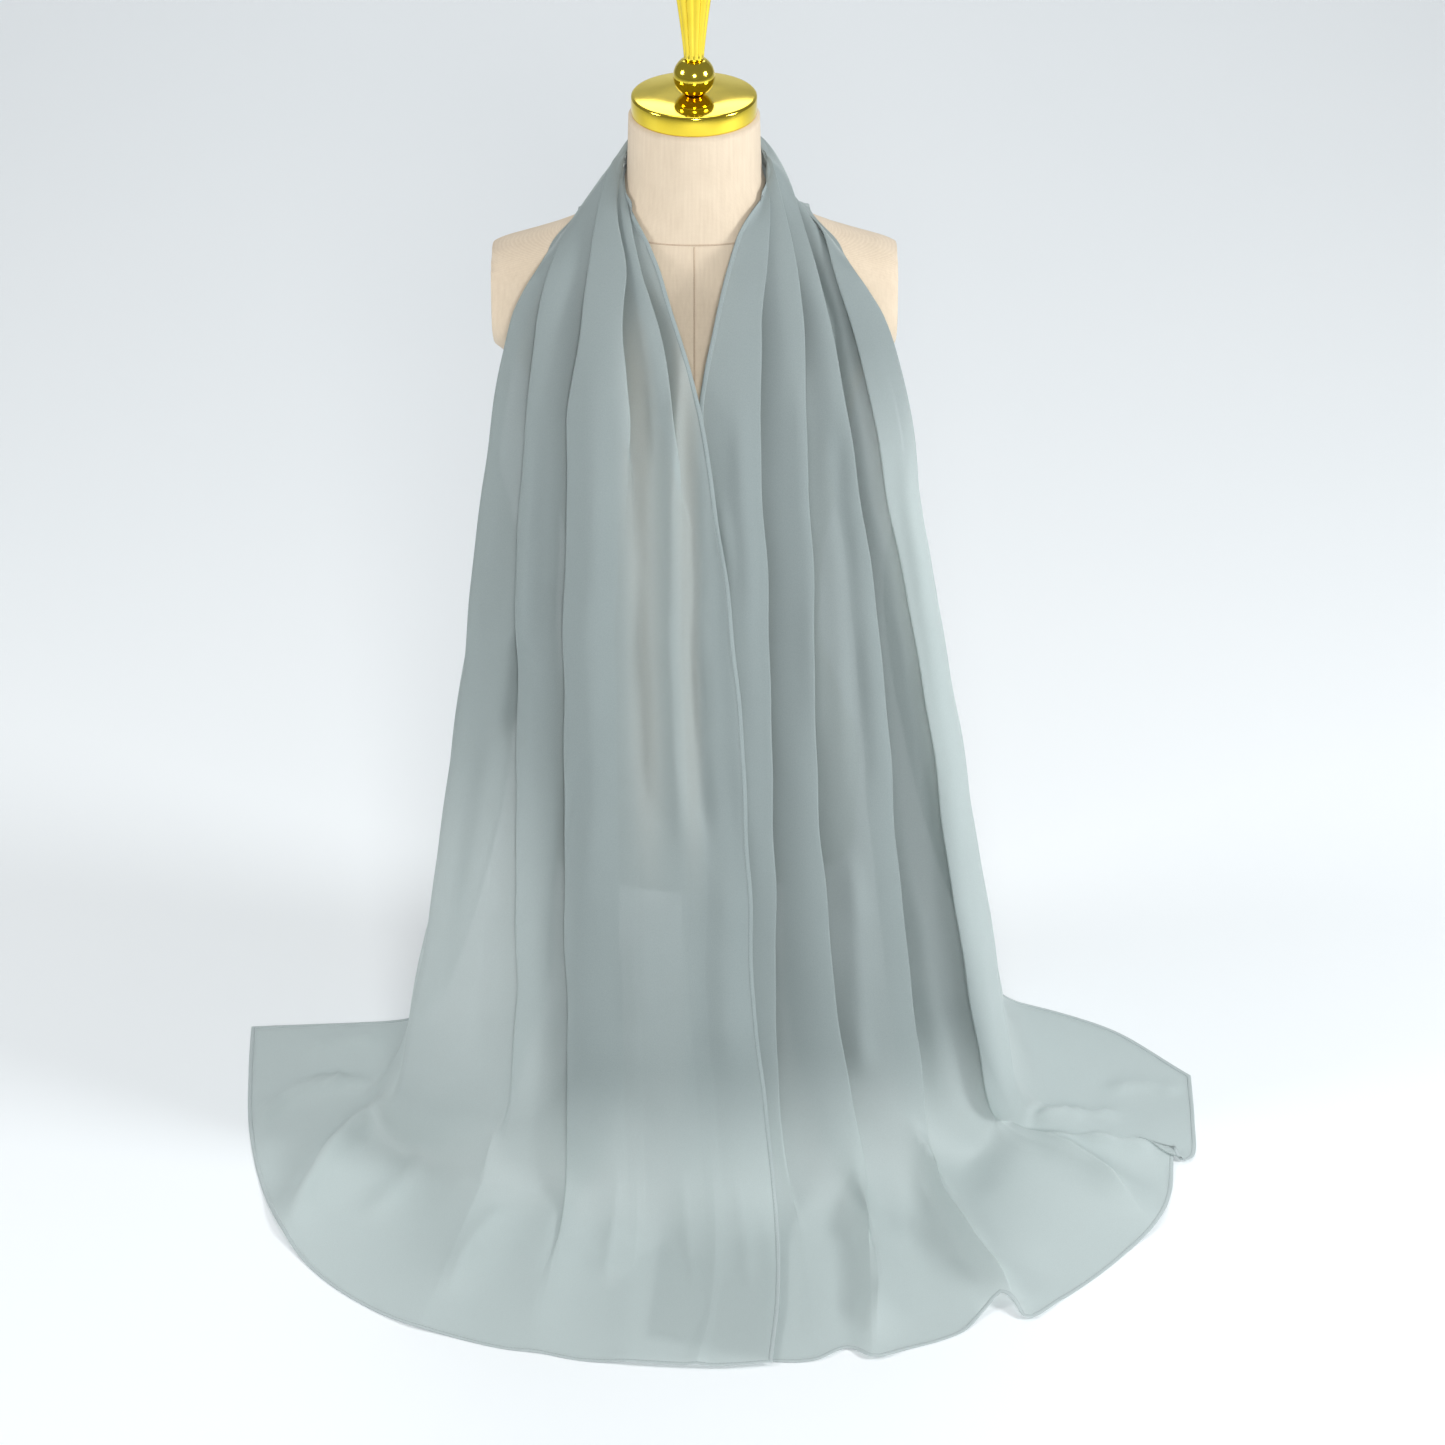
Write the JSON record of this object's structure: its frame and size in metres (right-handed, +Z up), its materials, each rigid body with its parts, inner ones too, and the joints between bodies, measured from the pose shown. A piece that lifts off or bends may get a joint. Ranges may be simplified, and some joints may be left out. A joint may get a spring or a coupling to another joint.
{
  "type": "hijab headscarf on dress form",
  "caption": "Long sheer headscarf hung round a limbless linen dress form, its crossed ends falling in soft folds to a round train on the floor; gold neck cap and finial, round stand.",
  "frame": {"origin": "on the floor, under the vertical axis of the dress form, at the centre of the stand's underside", "axes": "+X to the viewer's right, +Y from the front to the back, +Z up; the crossed ends hang on the -Y side"},
  "size_m": [0.784, 0.512, 0.942],
  "materials": {
    "chiffon": "sheer crepe chiffon, matt",
    "linen": "plain woven linen, matt",
    "gold": "mirror-polished gold plate",
    "enamel": "satin enamel"
  },
  "bodies": {
    "root": {"scarf_left_train": "chiffon", "scarf_left_drop": "chiffon", "scarf_neck": "chiffon", "scarf_right_drop": "chiffon", "scarf_right_train": "chiffon", "form_torso": "linen", "form_neck": "linen", "neck_cap": "gold", "finial_ball": "gold", "finial_column": "gold", "stand_pole": "enamel", "stand_base": "enamel"}
  },
  "joints": []
}
